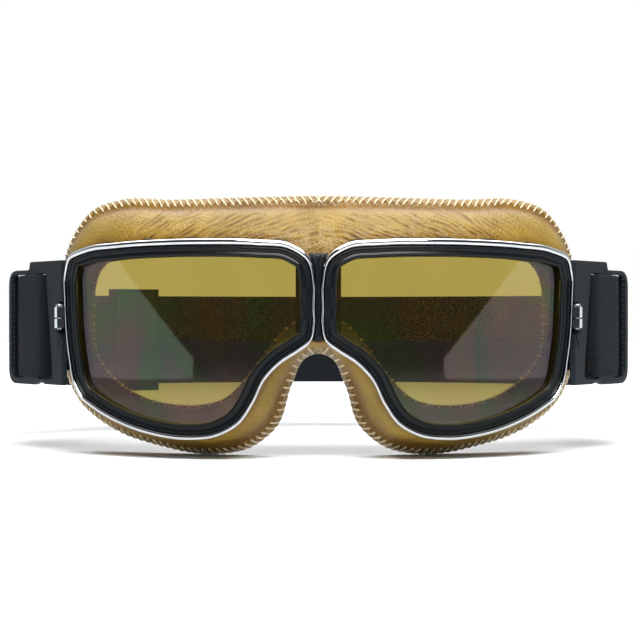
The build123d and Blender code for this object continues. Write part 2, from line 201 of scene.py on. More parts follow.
def grid_faces(rows, columns, close_rows=True, close_columns=True):
    """Quads of a grid, joined round in each closed direction."""
    faces = []
    for i in range(rows if close_rows else rows - 1):
        for j in range(columns if close_columns else columns - 1):
            a, b = i * columns + j, i * columns + (j + 1) % columns
            c, d = ((i + 1) % rows) * columns + (j + 1) % columns, ((i + 1) % rows) * columns + j
            faces.append((a, b, c, d))
    return faces


def capped(rows, columns):
    """Faces of a tube made of closed rows, with its two ends closed."""
    last = (rows - 1) * columns
    caps = [tuple(range(columns))[::-1], tuple(range(last, last + columns))]
    return grid_faces(rows, columns, close_rows=False) + caps


def tube(path, radius, sides=6):
    """Points and faces of a round thread along a path, closed at both ends."""
    path = np.asarray(path, float)
    along = np.gradient(path, axis=0)
    along /= np.linalg.norm(along, axis=1)[:, None]
    first = np.cross(along, np.array([0.31, 0.17, 0.93]))
    first /= np.linalg.norm(first, axis=1)[:, None]
    second = np.cross(along, first)
    turns = np.linspace(0, 2 * pi, sides, endpoint=False)
    taper = np.minimum(1, 0.45 + 0.8 * np.minimum(np.arange(len(path)), np.arange(len(path))[::-1]))
    rings = [path + (first * cos(a) + second * sin(a)) * (radius * taper)[:, None] for a in turns]
    points = np.stack(rings, axis=1).reshape(-1, 3)
    return points, capped(len(path), sides)


def gathered(parts):
    """Many small meshes as one."""
    points, faces, start = [], [], 0
    for part_points, part_faces in parts:
        points.append(part_points)
        faces += [tuple(v + start for v in face) for face in part_faces]
        start += len(part_points)
    return np.concatenate(points), faces


def mirrored(points):
    """The same points on the other side of the middle plane."""
    return np.asarray(points) * np.array([-1, 1, 1])


def pair(name, points, faces, material):
    """The right-hand piece and its mirror image, each riding on its half of the goggles."""
    made = {}
    for side, place in (("right", points), ("left", mirrored(points))):
        obj = mesh_object(f"{name}_{side}_piece", place, faces, material)
        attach(obj, f"{side}_half")
        made[side] = obj
    return made


# ------------------------ materials
def node_tools(tree):
    """A short way to add and to link the nodes of a tree; capital names are inputs."""
    def add(kind, **settings):
        node = tree.nodes.new(kind)
        for key, value in settings.items():
            if key[0].isupper():
                node.inputs[key.replace("_", " ")].default_value = value
            else:
                setattr(node, key, value)
        return node

    return add, tree.links.new


def new_material(name):
    """A node material, its Principled shader, and the tools for its nodes."""
    material = bpy.data.materials.new(name)
    material.use_nodes = True
    return material, material.node_tree.nodes["Principled BSDF"], *node_tools(material.node_tree)


def ramp(add, stops):
    """A colour ramp with the given stops."""
    node = add("ShaderNodeValToRGB")
    elements = node.color_ramp.elements
    while len(elements) < len(stops):
        elements.new(0.5)
    for element, (place, colour) in zip(elements, stops):
        element.position = place
        element.color = (*colour, 1)
    return node


def position(add, link, scale=(1, 1, 1), turn=(0, 0, 0)):
    """Object coordinates, scaled and turned."""
    coordinates = add("ShaderNodeTexCoord")
    mapping = add("ShaderNodeMapping", Scale=scale, Rotation=turn)
    link(coordinates.outputs["Object"], mapping.inputs["Vector"])
    return mapping.outputs["Vector"]


def bump(add, link, shader, height, strength, distance):
    """Bump on the shader from a height."""
    node = add("ShaderNodeBump", Strength=strength, Distance=distance)
    link(height, node.inputs["Height"])
    link(node.outputs["Normal"], shader.inputs["Normal"])


def speckled(name, dark, light, scale, roughness, relief, depth, sheen=0.0, metal=0.0, shine=0.5):
    """A moulded or cast surface: fine grain, a slight change of colour and of gloss."""
    material, shader, add, link = new_material(name)
    where = position(add, link)
    grain = add("ShaderNodeTexNoise", Scale=scale, Detail=5.0)
    link(where, grain.inputs["Vector"])
    colours = ramp(add, [(0.3, dark), (0.7, light)])
    link(grain.outputs["Fac"], colours.inputs["Fac"])
    link(colours.outputs["Color"], shader.inputs["Base Color"])
    gloss = add("ShaderNodeMapRange", To_Min=roughness[0], To_Max=roughness[1])
    link(grain.outputs["Fac"], gloss.inputs["Value"])
    link(gloss.outputs["Result"], shader.inputs["Roughness"])
    bump(add, link, shader, grain.outputs["Fac"], relief, depth)
    shader.inputs["Sheen Weight"].default_value = sheen
    shader.inputs["Metallic"].default_value = metal
    shader.inputs["Specular IOR Level"].default_value = shine
    return material


def leather_material():
    """Golden tan leather: a random pale tan, turned brown by painted shade in its creases and puckers."""
    material, shader, add, link = new_material("golden_leather")
    where = position(add, link)
    cloud = add("ShaderNodeTexNoise", Scale=70.0, Detail=4.0, Roughness=0.6)
    link(where, cloud.inputs["Vector"])
    base = ramp(add, [(0.32, (0.235, 0.145, 0.016)), (0.5, (0.30, 0.19, 0.026)),
                      (0.7, (0.37, 0.245, 0.043))])
    link(cloud.outputs["Fac"], base.inputs["Fac"])
    painted_crease_shade = add("ShaderNodeAttribute", attribute_name="painted_crease_shade")
    # painted shade: the attribute darkens the tan to brown in creases, stitch gaps, the valley inside the
    # edge and beside the rims
    dark = ramp(add, [(0.0, (1, 1, 1)), (0.45, (0.66, 0.50, 0.34)), (1.0, (0.30, 0.17, 0.08))])
    link(painted_crease_shade.outputs["Fac"], dark.inputs["Fac"])
    mix = add("ShaderNodeMix", data_type="RGBA", blend_type="MULTIPLY")
    mix.inputs["Factor"].default_value = 1.0
    link(base.outputs["Color"], mix.inputs["A"])
    link(dark.outputs["Color"], mix.inputs["B"])
    link(mix.outputs["Result"], shader.inputs["Base Color"])
    pores = add("ShaderNodeTexVoronoi", Scale=850.0, feature="DISTANCE_TO_EDGE")
    link(where, pores.inputs["Vector"])
    fine = add("ShaderNodeTexNoise", Scale=900.0, Detail=3.0)
    link(where, fine.inputs["Vector"])
    height = add("ShaderNodeMath", operation="ADD")
    link(pores.outputs["Distance"], height.inputs[0])
    link(fine.outputs["Fac"], height.inputs[1])
    bump(add, link, shader, height.outputs["Value"], 0.7, 0.0004)
    gloss = add("ShaderNodeMapRange", To_Min=0.3, To_Max=0.46)
    link(fine.outputs["Fac"], gloss.inputs["Value"])
    link(gloss.outputs["Result"], shader.inputs["Roughness"])
    shader.inputs["Specular IOR Level"].default_value = 0.4
    shader.inputs["Coat Weight"].default_value = 0.05
    shader.inputs["Coat Roughness"].default_value = 0.35
    return material


def chrome_material():
    """Polished chrome with the faintest haze and hairlines."""
    material, shader, add, link = new_material("chrome_plate")
    where = position(add, link, scale=(1, 1, 6))
    haze = add("ShaderNodeTexNoise", Scale=120.0, Detail=2.0)
    link(where, haze.inputs["Vector"])
    tone = ramp(add, [(0.3, (0.83, 0.835, 0.84)), (0.7, (0.93, 0.93, 0.93))])
    link(haze.outputs["Fac"], tone.inputs["Fac"])
    link(tone.outputs["Color"], shader.inputs["Base Color"])
    gloss = add("ShaderNodeMapRange", To_Min=0.04, To_Max=0.07)
    link(haze.outputs["Fac"], gloss.inputs["Value"])
    link(gloss.outputs["Result"], shader.inputs["Roughness"])
    shader.inputs["Metallic"].default_value = 1.0
    return material


def lens_material():
    """Amber tinted lens with a faint mirror coating in soft bands."""
    material, shader, add, link = new_material("amber_lens")
    where = position(add, link, scale=(1, 1, 0.6))
    bands = add("ShaderNodeTexNoise", Scale=45.0, Detail=1.5, Distortion=0.6)
    link(where, bands.inputs["Vector"])
    film = add("ShaderNodeMapRange", To_Min=330.0, To_Max=760.0)
    link(bands.outputs["Fac"], film.inputs["Value"])
    link(film.outputs["Result"], shader.inputs["Thin Film Thickness"])
    tint = ramp(add, [(0.3, (0.42, 0.33, 0.072)), (0.7, (0.44, 0.35, 0.082))])
    link(bands.outputs["Fac"], tint.inputs["Fac"])
    link(tint.outputs["Color"], shader.inputs["Base Color"])
    shader.inputs["Thin Film IOR"].default_value = 1.565
    shader.inputs["Roughness"].default_value = 0.02
    shader.inputs["IOR"].default_value = 1.5
    shader.inputs["Transmission Weight"].default_value = 1.0
    return material


def knit_material():
    """Knitted elastic: fine ribs across the band, crossed by lengthwise cords, with lint."""
    material, shader, add, link = new_material("knitted_elastic")
    along = add("ShaderNodeAttribute", attribute_name="along")
    across = add("ShaderNodeAttribute", attribute_name="across")
    heights = []
    for source, pitch in ((along, 0.9), (across, 1.1)):
        angle = add("ShaderNodeMath", operation="MULTIPLY")
        angle.inputs[1].default_value = 2 * pi / pitch
        link(source.outputs["Fac"], angle.inputs[0])
        wave = add("ShaderNodeMath", operation="SINE")
        link(angle.outputs["Value"], wave.inputs[0])
        heights.append(wave)
    weave = add("ShaderNodeMath", operation="MULTIPLY")
    link(heights[0].outputs["Value"], weave.inputs[0])
    link(heights[1].outputs["Value"], weave.inputs[1])
    where = position(add, link)
    lint = add("ShaderNodeTexNoise", Scale=900.0, Detail=4.0, Roughness=0.7)
    link(where, lint.inputs["Vector"])
    total = add("ShaderNodeMath", operation="ADD")
    link(weave.outputs["Value"], total.inputs[0])
    link(lint.outputs["Fac"], total.inputs[1])
    # colour follows the weave's height: painted shade in its hollows, lighter on its ribs, plus the lint's
    # random tone
    colours = ramp(add, [(0.3, (0.0015, 0.003, 0.005)), (0.55, (0.0035, 0.007, 0.011)),
                         (0.8, (0.015, 0.026, 0.036))])
    shade = add("ShaderNodeMapRange", From_Min=-1.0, From_Max=2.0)
    link(total.outputs["Value"], shade.inputs["Value"])
    link(shade.outputs["Result"], colours.inputs["Fac"])
    link(colours.outputs["Color"], shader.inputs["Base Color"])
    bump(add, link, shader, total.outputs["Value"], 0.9, 0.0005)
    shader.inputs["Roughness"].default_value = 0.85
    shader.inputs["Specular IOR Level"].default_value = 0.2
    shader.inputs["Sheen Weight"].default_value = 0.06
    return material


def thread_material():
    """Waxed cream thread with its twist."""
    material, shader, add, link = new_material("cream_thread")
    where = position(add, link)
    twist = add("ShaderNodeTexWave", Scale=600.0, Distortion=2.0, bands_direction="DIAGONAL")
    link(where, twist.inputs["Vector"])
    colours = ramp(add, [(0.2, (0.62, 0.47, 0.25)), (0.7, (0.87, 0.78, 0.58))])
    link(twist.outputs["Fac"], colours.inputs["Fac"])
    link(colours.outputs["Color"], shader.inputs["Base Color"])
    bump(add, link, shader, twist.outputs["Fac"], 0.4, 0.00008)
    shader.inputs["Roughness"].default_value = 0.55
    return material


LEATHER = leather_material()
CHROME = chrome_material()
GASKET = speckled("satin_rubber", (0.004, 0.005, 0.006), (0.007, 0.009, 0.010), 1400,
                  (0.2, 0.28), 0.03, 0.00003, shine=0.3)
CUP = speckled("black_moulding", (0.008, 0.009, 0.010), (0.016, 0.018, 0.020), 700,
               (0.4, 0.55), 0.15, 0.0001, shine=0.3)
WING = speckled("slate_moulding", (0.007, 0.0125, 0.016), (0.011, 0.018, 0.022), 900,
                (0.36, 0.46), 0.08, 0.0001, shine=0.22)
LENS = lens_material()
KNIT = knit_material()
THREAD = thread_material()
DARK_THREAD = speckled("dark_thread", (0.01, 0.013, 0.018), (0.03, 0.036, 0.045), 1500,
                       (0.6, 0.8), 0.3, 0.0001)
LINING = speckled("brushed_lining", (0.010, 0.009, 0.008), (0.028, 0.025, 0.022), 1300,
                  (0.9, 1.0), 0.8, 0.0004, sheen=0.4)
FOAM = speckled("open_foam", (0.05, 0.045, 0.04), (0.12, 0.11, 0.1), 900, (0.9, 1.0), 0.9, 0.0005)
BOOT = speckled("ribbed_rubber", (0.006, 0.008, 0.010), (0.011, 0.014, 0.017), 1200,
                (0.3, 0.4), 0.05, 0.00005, shine=0.3)
STEEL = speckled("plated_steel", (0.45, 0.45, 0.45), (0.6, 0.6, 0.6), 900,
                 (0.2, 0.35), 0.1, 0.00005, metal=1.0)

# ------------------------ rims and gaskets
EYE_STATIONS = 420
eye = smooth_loop(EYE_POINTS, EYE_STATIONS)
eye_in = inward(eye)
rim_width = edge_width(eye_in, RIM_SIDE, RIM_TOP, RIM_BOTTOM)
gasket_width = edge_width(eye_in, GASKET_SIDE, GASKET_TOP, GASKET_BOTTOM)


def eye_ring(name, profile, material):
    """Sweep a closed section round each eye: (share of the rim, share of the gasket, depth)."""
    places = []
    for rim_share, gasket_share, depth in profile:
        width = rim_width * rim_share + gasket_width * gasket_share
        places.append(on_face(eye + eye_in * width[:, None], depth))
    points = np.stack(places, axis=1).reshape(-1, 3)
    return pair(name, points, grid_faces(EYE_STATIONS, len(profile)), material)


RIM_PROFILE = [(0, 0, RIM_DEPTH), (0, 0, 4.0), (0, 0, 1.3), (0.06, 0, 0.7), (0.18, 0, 0.26),
               (0.34, 0, 0.05), (0.52, 0, 0.0), (0.7, 0, 0.1), (0.86, 0, 0.36), (0.96, 0, 0.8),
               (1, 0, 1.4), (1, 0, 4.0), (1, 0, RIM_DEPTH), (0.5, 0, RIM_DEPTH)]
# a groove between two beads
GASKET_PROFILE = [(1, 0.0, 5.0), (1, 0.0, 1.6), (1, 0.03, 0.9), (1, 0.09, 0.35), (1, 0.15, 0.22),
                  (1, 0.21, 0.35), (1, 0.25, 0.75), (1, 0.29, 0.95), (1, 0.50, 1.0), (1, 0.60, 0.95),
                  (1, 0.66, 0.6), (1, 0.76, 0.42), (1, 0.86, 0.5), (1, 0.93, 0.75), (1, 0.98, 1.3),
                  (1, 1.0, 2.2), (1, 1.0, 5.0), (1, 0.5, 5.2)]
for part, profile, look, slot in (("rim", RIM_PROFILE, CHROME, "chrome"),
                                  ("gasket", GASKET_PROFILE, GASKET, "gasket")):
    for side, piece in eye_ring(part, profile, look).items():
        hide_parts(f"{part}_{side}")

# ------------------------ vent hoods
VENT_FIRST, VENT_PITCH, VENTS = 14.2, 15.4, 5        # along X, on the right-hand side
VENT_HALF, VENT_DEEP, VENT_TALL = 3.7, 1.5, 1.9      # half sizes along, into and up the brow
VENT_BEHIND, VENT_BELOW = 8.6, 0.85                  # middle of a hood, from the rim's face and top
VENT_ROWS, VENT_TURNS = 9, 14
BROW_X, BROW_Z, BROW_CURVE = 45.0, 76.9, 0.0012      # top line of the rims


def vent_domes():
    """Five low hoods that stand between the rim and the leather."""
    parts = []
    for x in (VENT_FIRST + VENT_PITCH * n for n in range(VENTS)):
        brow = BROW_Z - BROW_CURVE * (x - BROW_X) ** 2
        centre = on_face(np.array([[x, brow - VENT_BELOW]]), VENT_BEHIND)[0]
        lean = asin(x / LENS_RADIUS)
        points = []
        for u in np.linspace(0.06, pi - 0.06, VENT_ROWS):
            for v in np.linspace(0, 2 * pi, VENT_TURNS, endpoint=False):
                along = -cos(u) * VENT_HALF
                ring = sin(u) ** 0.45
                out = (VENT_DEEP * ring * cos(v), VENT_TALL * ring * sin(v))
                points.append((centre[0] + along * cos(lean) + out[0] * sin(lean),
                               centre[1] + along * sin(lean) + out[0] * cos(lean), centre[2] + out[1]))
        parts.append((np.array(points), capped(VENT_ROWS, VENT_TURNS)))
    return gathered(parts)


for side, piece in pair("vent_hoods", *vent_domes(), CUP).items():
    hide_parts(f"vent_hoods_{side}")

# ------------------------ CAD nodes that stay
CAD_LOOKS = {"bridge_pin": STEEL, "strap_slider": CUP}
for stem, look in (("clamp_lugs", CHROME), ("clamp_screw", STEEL), ("lens", LENS), ("eyecup", CUP),
                   ("bridge_leaf", CUP)):
    CAD_LOOKS |= {f"{stem}_left": look, f"{stem}_right": look}
for node, look in CAD_LOOKS.items():
    for spot in bpy.data.objects[node].material_slots:
        spot.material = look

# ------------------------ leather mask
RIM_LOW, RIM_HIGH = 40.9, 71.2  # where the line behind the rims crosses the middle
CUP_LOW, CUP_HIGH = 44.5, 68.0  # where the line that the lining ends on crosses the middle
# Landmarks that belong together, from under the nose round to the brow: the mask's stitched
# edge, the rims it starts behind, and the edge of the face opening.
LANDMARKS = [
    ((0, 36.6), (0, RIM_LOW), (0, 49.5)), ((9.5, 25.6), (13, 33.4), (15, 41)),
    ((14.8, 10.6), (22.6, 19.3), (24, 29)), ((24, 3), (27.5, 12.4), (29, 23)),
    ((38, 0.2), (40, 7.2), (40, 18)), ((57, 2.6), (58, 8), (55, 17.3)),
    ((76.7, 8.8), (77, 14.8), (72, 23.5)), ((89, 17.6), (86, 20.8), (80, 31)),
    ((96, 30), (90.3, 34), (83.5, 40)), ((98.4, 48), (91.8, 48), (84.6, 50)),
    ((97.3, 66), (92.2, 66), (82.5, 64)), ((92.5, 80.6), (90.4, 71.8), (77, 71.5)),
    ((84, 90), (84, 74.7), (72, 74.3)), ((73, 93), (72, 76.1), (65, 75.6)),
    ((53.5, 92.4), (56, 76.8), (48, 76)), ((27, 92.6), (27, 76.6), (26, 76)),
    ((0, 93), (0, RIM_HIGH), (0, 76)),
]
STITCH_PITCH = 2.6
PER_STITCH = 10                 # stations between two stitches
LEATHER_THICKNESS = 1.2
SKIN_STEPS = 40
SKIN_START = 8.3                # depth of the leather's inner edge, behind the rims
EDGE_PROUND = 0.9               # how far the stitched edge stands off the rear cylinder
WRAP, WRAP_STEPS = 2.6, 5       # how far the leather turns over onto the back
FINE = 6000                     # stations of the loops that the mask's stations are matched to


def eyes_together(amount, low, high):
    """One outline round both eyes, moved in from the rims, and closed over the bridge."""
    points = np.array(EYE_POINTS, float)
    moved = points + inward(points) * amount
    return [(0, low)] + [tuple(p) for p in moved[3:]] + [(0, high)]


def matched(half, column, edge):
    """The point of a symmetric outline that belongs to each station of the mask's edge."""
    loop = smooth_loop(both_halves(half), FINE)
    marks = np.array([row[column] for row in LANDMARKS], float)
    nearest = [int(np.argmin(np.linalg.norm(loop[:FINE // 2 + 1] - mark, axis=1))) for mark in marks]
    own = np.array([row[0] for row in LANDMARKS], float)
    stations = len(edge)
    at = [int(np.argmin(np.linalg.norm(edge[:stations // 2 + 1] - mark, axis=1))) for mark in own]
    nearest[0], nearest[-1], at[0], at[-1] = 0, FINE // 2, 0, stations / 2
    index = np.arange(stations)
    folded = np.where(index <= stations / 2, index, stations - index)
    places = smooth_steps(folded, at, nearest)
    x = np.interp(places, np.arange(FINE // 2 + 1), loop[:FINE // 2 + 1, 0])
    z = np.interp(places, np.arange(FINE // 2 + 1), loop[:FINE // 2 + 1, 1])
    return np.stack([np.where(index <= stations / 2, x, -x), z], axis=1)


stitches = 2 * round(perimeter(smooth_loop(both_halves(MASK_POINTS), FINE)) / STITCH_PITCH / 2)
STATIONS = stitches * PER_STITCH
edge = smooth_loop(both_halves(MASK_POINTS), STATIONS)
edge_in = inward(edge)
behind_rim = matched(eyes_together(0.8, RIM_LOW, RIM_HIGH), 1, edge)
opening = matched(OPENING_POINTS, 2, edge)
cup_back = matched(eyes_together(3.2, CUP_LOW, CUP_HIGH), 1, edge)


def wrinkle_field(x, z):
    """Creases of the brow, gathered towards the bridge: 0 on the crests to 1 in the creases."""
    field = np.zeros(x.shape)
    for place, px in np.ndenumerate(x):
        away, pz = abs(px), z[place]
        lean = radians(20 + 20 * min(away / 70.0, 1.0))
        along = away * cos(lean) - pz * sin(lean)
        across = away * sin(lean) + pz * cos(lean)
        side = 37.0 if px < 0 else 0.0
        bend = noise.noise(Vector((px / 16.0, pz / 11.0, 5.0))) * 2.2
        warp = noise.noise(Vector((along / 5.0 + side, across / 3.0, 1.5))) * 5.0
        crest = 0.5 + 0.5 * sin(2 * pi * (across + 0.4 * bend) / 1.6 + warp)
        patch = 0.5 + 1.1 * noise.noise(Vector((along / 2.6 + side, (across + bend) / 1.3, 8.5)))
        field[place] = crest ** 2 * max(0.0, min(patch, 1.0))
    return field


def leather_skin():
    """Points of the leather's outer face, station by step, and its painted shade in creases, stitch gaps,
    the valley and beside the rims.
    """
    t = np.linspace(0, 1, SKIN_STEPS)[None, :]
    flat = behind_rim[:, None, :] * (1 - t)[..., None] + edge[:, None, :] * t[..., None]
    start = on_face(behind_rim, SKIN_START)[:, 1][:, None]
    end = on_back(edge, EDGE_PROUND)[:, 1][:, None]
    reach = np.linalg.norm(edge - behind_rim, axis=1)[:, None]
    y = start + (end - start) * t**1.9
    valley, bead = 1 - 3.9 / reach, 1 - 1.4 / reach
    wide = ease(reach, 5, 10)
    y = y + 1.0 * wide * lump(t, valley, 1.3 / reach) - 0.9 * lump(t, bead, 1.1 / reach)
    x, z = flat[..., 0], flat[..., 1]
    brow = (ease(z, 72, 78) * (1 - ease(np.abs(x), 56, 80)) * (1 - ease(t, 0.5, 0.82))
            * (0.4 + 0.6 * ease(t, 0, 0.1)))
    creases = wrinkle_field(x, z)
    y = y + 0.75 * creases * brow
    index = np.arange(STATIONS)[:, None]
    way = np.where(index <= STATIONS / 2, 1.0, -1.0)
    phase = index / PER_STITCH + way * 0.9 * (1 - ease(t, 1 - 2.6 / reach, 1.0))
    tooth = np.abs(np.cos(pi * phase)) ** 0.8
    near_edge = ease(t, 1 - 3.4 / reach, 1 - 1.8 / reach)
    out = -edge_in[:, None, :] * (0.42 * (tooth - 0.6) * near_edge)[..., None]
    x, z = x + out[..., 0], z + out[..., 1]
    y = y - 0.35 * tooth * near_edge
    pucker = ease(t, 1 - 7.5 / reach, 1 - 2.5 / reach) * (1 - near_edge)
    y = y + 0.16 * pucker * (1 - tooth)
    # painted shade: darker in the brow's creases, between the stitch teeth, in the valley inside the edge
    # and beside the rims
    painted_shade = np.clip(0.6 * creases * brow + 1.0 * near_edge * (1 - tooth) ** 1.5
                     + 0.45 * lump(t, valley, 1.6 / reach) * wide + 0.3 * (1 - ease(t, 0.04, 0.3)), 0, 1)
    return np.stack([x, y, z], axis=-1), painted_shade


def turned_over(skin):
    """The leather's turned edge, on the back of the mask."""
    rows = []
    rim = skin[:, -1]
    for step in range(1, WRAP_STEPS + 1):
        share = step / WRAP_STEPS
        flat = rim[:, [0, 2]] + edge_in * (WRAP * share)
        rows.append(on_back(flat, EDGE_PROUND - 1.5 * sin(share * pi / 2)))
    return np.stack(rows, axis=1)


def face_normals(grid):
    """Unit normals of a grid that is closed round its stations."""
    around = np.roll(grid, -1, axis=0) - np.roll(grid, 1, axis=0)
    across = np.gradient(grid, axis=1)
    normal = np.cross(around, across)
    return normal / np.linalg.norm(normal, axis=2)[..., None]


def double_walled(grid, thickness):
    """A closed sheet: the grid, and the same grid set back by its thickness."""
    back = grid - face_normals(grid) * thickness
    return np.concatenate([grid, back[:, ::-1]], axis=1)


def across_bridge(piece):
    """Bake a piece's placing into its points."""
    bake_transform(piece)


skin, painted_shade = leather_skin()
leather_grid = np.concatenate([skin, turned_over(skin)], axis=1)
outward = face_normals(leather_grid)
sign = 1.0 if outward[0, 5, 1] < 0 else -1.0        # so that outward * sign leaves the mask
leather_closed = double_walled(leather_grid, sign * LEATHER_THICKNESS)
# painted shade on the face, none on the turned edge, and the same again on the back wall
painted_crease_shade = np.concatenate([painted_shade, np.zeros((STATIONS, WRAP_STEPS))], axis=1)
painted_crease_shade = np.concatenate([painted_crease_shade, painted_crease_shade[:, ::-1]], axis=1)
columns = leather_closed.shape[1]
leather = mesh_object("mask_leather_piece", leather_closed.reshape(-1, 3),
                      grid_faces(STATIONS, columns), LEATHER, extras={"painted_crease_shade": painted_crease_shade})
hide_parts("mask_leather_left", "mask_leather_right")
across_bridge(leather)

# ------------------------ face lining, its binding, and the foam
LINING_STATIONS = STATIONS // 3
LINING_THICKNESS = 1.0
thin = slice(0, LINING_STATIONS * 3, 3)
back_edge, back_in = edge[thin], edge_in[thin]
back_opening, back_cup = opening[thin], cup_back[thin]
opening_in = inward(opening)[thin]


def lining_grid():
    """The lining's face: over the padded back, round the opening's edge and in to the eyecup."""
    rows = []
    start = back_edge + back_in * (WRAP - 0.8)
    for share in np.linspace(0, 1, 12):
        flat = start * (1 - share) + (back_opening - opening_in * 1.2) * share
        rows.append(on_back(flat, -0.2 - 1.6 * sin(pi * share) ** 0.8))
    lip = on_back(back_opening, 1.2)
    rows.append(lip)
    cup = on_face(back_cup, EYECUP_BACK + 0.3)
    for share in np.linspace(0.12, 1, 10):
        rows.append(lip * (1 - share) + cup * share)
    return np.stack(rows, axis=1)


lining_face = lining_grid()
lining_closed = double_walled(lining_face, sign * LINING_THICKNESS)
lining = mesh_object("mask_lining_piece", lining_closed.reshape(-1, 3),
                     grid_faces(LINING_STATIONS, lining_closed.shape[1]), LINING)
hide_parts("mask_lining_left", "mask_lining_right")
across_bridge(lining)

FOAM_STEPS = 8
front_rows = [leather_grid[thin][:, j] + np.array([0, 2.2, 0]) for j in (3, 14, 24, 31)]
back_rows = [lining_face[:, j] - np.array([0, 2.4, 0]) for j in (2, 6, 10)]
wall_row = [lining_face[:, 17] * 0.75 + front_rows[0] * 0.25]
foam_points = np.stack(front_rows + back_rows + wall_row, axis=1)
foam = mesh_object("mask_foam_piece", foam_points.reshape(-1, 3),
                   grid_faces(LINING_STATIONS, FOAM_STEPS), FOAM)
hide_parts("mask_foam_left", "mask_foam_right")
across_bridge(foam)

BINDING_SECTION = 10
angles = np.linspace(0, 2 * pi, BINDING_SECTION, endpoint=False)
binding_stations = STATIONS // 2
half_rate = slice(0, binding_stations * 2, 2)
lip_flat, lip_in = opening[half_rate], inward(opening)[half_rate]
tooth = np.abs(np.cos(pi * np.arange(binding_stations) * 2 / PER_STITCH))
rows = []
for angle in angles:
    reach = 0.55 + 1.15 * cos(angle) * (0.8 + 0.2 * tooth)
    flat = lip_flat - lip_in * (0.9 - reach[:, None])
    rows.append(on_back(flat, 0.3 + 1.3 * sin(angle)))
# the binding's painted shade darkens it in the hollows between its stitches
binding = mesh_object("mask_binding", np.stack(rows, axis=1).reshape(-1, 3),
                      grid_faces(binding_stations, BINDING_SECTION), LEATHER,
                      extras={"painted_crease_shade": np.repeat((1 - tooth)[:, None] * 0.8, BINDING_SECTION, axis=1)})
across_bridge(binding)

# strip that joins the two eyecups behind the bridge
STRIP_HALF, STRIP_LOW, STRIP_HIGH = 8.0, 43.5, 69.5
STRIP_FRONT, STRIP_THICKNESS, STRIP_BOW = EYECUP_BACK + 0.4, 1.2, 0.6
STRIP_COLUMNS, STRIP_ROWS = 17, 19
strip_x = np.linspace(-STRIP_HALF, STRIP_HALF, STRIP_COLUMNS)
strip_z = np.linspace(STRIP_LOW, STRIP_HIGH, STRIP_ROWS)
strip_points = []
for strip_depth, heights in ((STRIP_FRONT, strip_z), (STRIP_FRONT + STRIP_THICKNESS, strip_z[::-1])):
    for z in heights:
        row = on_face(np.stack([strip_x, np.full(STRIP_COLUMNS, z)], axis=1), strip_depth)
        row[:, 1] += STRIP_BOW * sin(pi * (z - STRIP_LOW) / (STRIP_HIGH - STRIP_LOW))
        strip_points.append(row)
strip_faces = grid_faces(2 * STRIP_ROWS, STRIP_COLUMNS, close_columns=False)
for end in (0, STRIP_COLUMNS - 1):
    strip_faces.append(tuple(row * STRIP_COLUMNS + end for row in range(2 * STRIP_ROWS)))
strip = mesh_object("bridge_strip", np.concatenate(strip_points), strip_faces, LINING)
across_bridge(strip)

# ------------------------ whip stitching
THREAD_RADIUS = 0.36
THREAD_PROUD = 0.16
THREAD_RUN = (2.9, 2.5, 1.9, 1.3, 0.7, 0.2)      # a stitch's places on the face, in from the edge
OPENING_THREAD_RADIUS = 0.26
normals = outward * sign
reach_all = np.linalg.norm(edge - behind_rim, axis=1)
threads = []
for k in range(stitches):
    station = k * PER_STITCH + PER_STITCH // 2
    way = 1 if station <= STATIONS / 2 else -1
    path = []
    for inside in THREAD_RUN:
        step = (1 - inside / reach_all[station % STATIONS]) * (SKIN_STEPS - 1)
        shift = way * PER_STITCH * 0.36 * (inside - 0.2)
        i, j = (station + int(round(shift))) % STATIONS, int(round(step))
        proud = THREAD_PROUD if inside < 2.8 else -0.2
        path.append(leather_grid[i, j] + normals[i, j] * proud)
    for j in (SKIN_STEPS, SKIN_STEPS + 2, SKIN_STEPS + 3):
        i = (station - way * (j - SKIN_STEPS + 1) // 2) % STATIONS
        path.append(leather_grid[i, j] + normals[i, j] * THREAD_PROUD)
    wobble = noise.noise(Vector((k * 0.37, 2.0, 0.0)))
    threads.append(tube(path, THREAD_RADIUS * (1 + 0.18 * wobble)))
stitching = mesh_object("mask_stitching", *gathered(threads), THREAD)
across_bridge(stitching)

inner_threads = []
for k in range(0, binding_stations, PER_STITCH):
    path = []
    for angle in np.linspace(-0.9, 1.9, 6):
        reach = 0.55 + 1.3 * cos(angle)
        flat = lip_flat[k] - lip_in[k] * (0.9 - reach)
        path.append(on_back(flat, 0.3 + 1.45 * sin(angle)))
    inner_threads.append(tube(path, OPENING_THREAD_RADIUS))
inner_stitching = mesh_object("opening_stitching", *gathered(inner_threads), THREAD)
across_bridge(inner_stitching)

# ------------------------ ribbed boot over the bridge
BOOT_LOW, BOOT_HIGH = 41.4, 71.6
BOOT_BED, BOOT_BACK = 2.6, 6.0               # behind the rims' faces
BOOT_ROWS, BOOT_COLUMNS = 44, 26             # the front; two more columns close the back
eye_loop = smooth_loop(np.array(EYE_POINTS, float), 4000)
nose_side = eye_loop[eye_loop[:, 0] < 30]
boot_points = []
for z in np.linspace(BOOT_LOW, BOOT_HIGH, BOOT_ROWS):
    near = nose_side[np.abs(nose_side[:, 1] - z) < 0.6]
    width = min(near[:, 0].min() + 0.08, 3.4)
    cap = min(1.0, (BOOT_HIGH - z) / 1.6 + 0.35, (z - BOOT_LOW) / 1.2 + 0.35)
    for x in np.linspace(-1, 1, BOOT_COLUMNS):
        ridges = lump(x, 0.48, 0.26) + lump(x, -0.48, 0.26)
        boot_points.append((x * width, FACE_Y + BOOT_BED - (1.0 + 0.9 * ridges) * cap + 0.9 * x * x, z))
    for x in (0.9, -0.9):
        boot_points.append((x * width, FACE_Y + BOOT_BACK, z))
boot = mesh_object("bridge_boot_piece", boot_points, capped(BOOT_ROWS, BOOT_COLUMNS + 2), BOOT)
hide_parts("bridge_boot")
across_bridge(boot)

